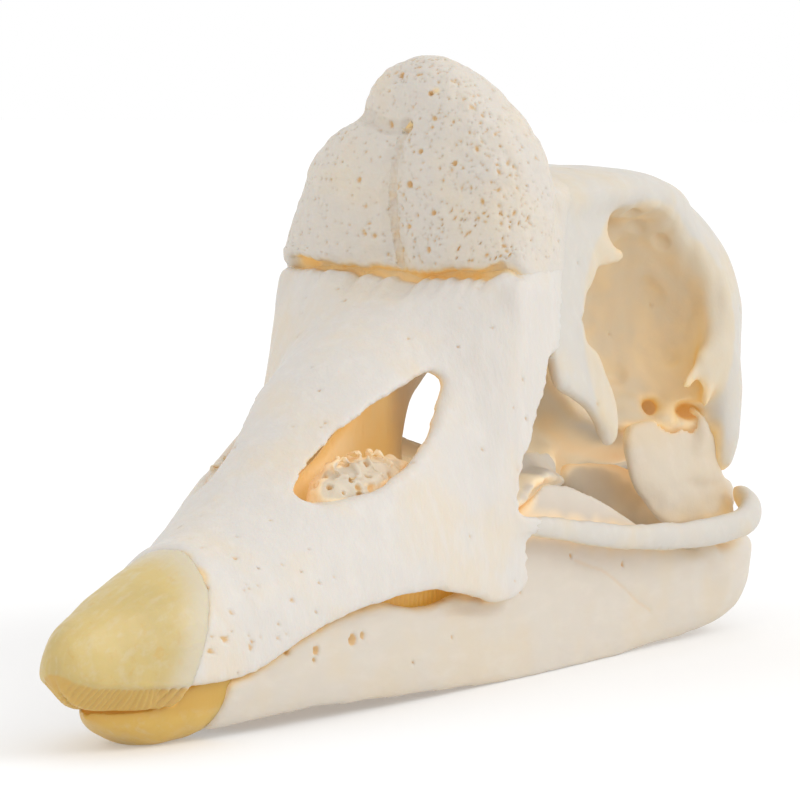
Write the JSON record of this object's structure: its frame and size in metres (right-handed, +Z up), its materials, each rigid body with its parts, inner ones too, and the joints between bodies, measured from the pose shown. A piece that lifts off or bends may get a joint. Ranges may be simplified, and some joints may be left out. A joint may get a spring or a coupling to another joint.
{
  "type": "goose skull",
  "caption": "Cleaned bird skull with a long bill, a tall porous forehead knob, open eye sockets and nostrils, slim cheek bars and a closed lower jaw tipped with horn; stands on its jaw.",
  "frame": {"origin": "bottom centre of the bounding box, on the surface the skull rests on", "axes": "+Z up, the bill tip points to -Y and the back of the head to +Y, +X is the bird's left"},
  "size_m": [0.0436, 0.1348, 0.0673],
  "materials": {
    "bone": "matt cleaned bone, off-white with ochre in the hollows",
    "jaw_bone": "matt cleaned bone, warm off-white",
    "joint_bone": "matt cleaned bone, cream",
    "horn": "satin yellow horn",
    "horn_dark": "satin amber horn"
  },
  "bodies": {
    "root": {"cranium": "bone", "lower_jaw": "jaw_bone", "quadrate_left": "joint_bone", "quadrate_right": "joint_bone", "pterygoid_left": "joint_bone", "pterygoid_right": "joint_bone", "upper_nail": "horn", "lower_nail": "horn_dark"}
  },
  "joints": []
}
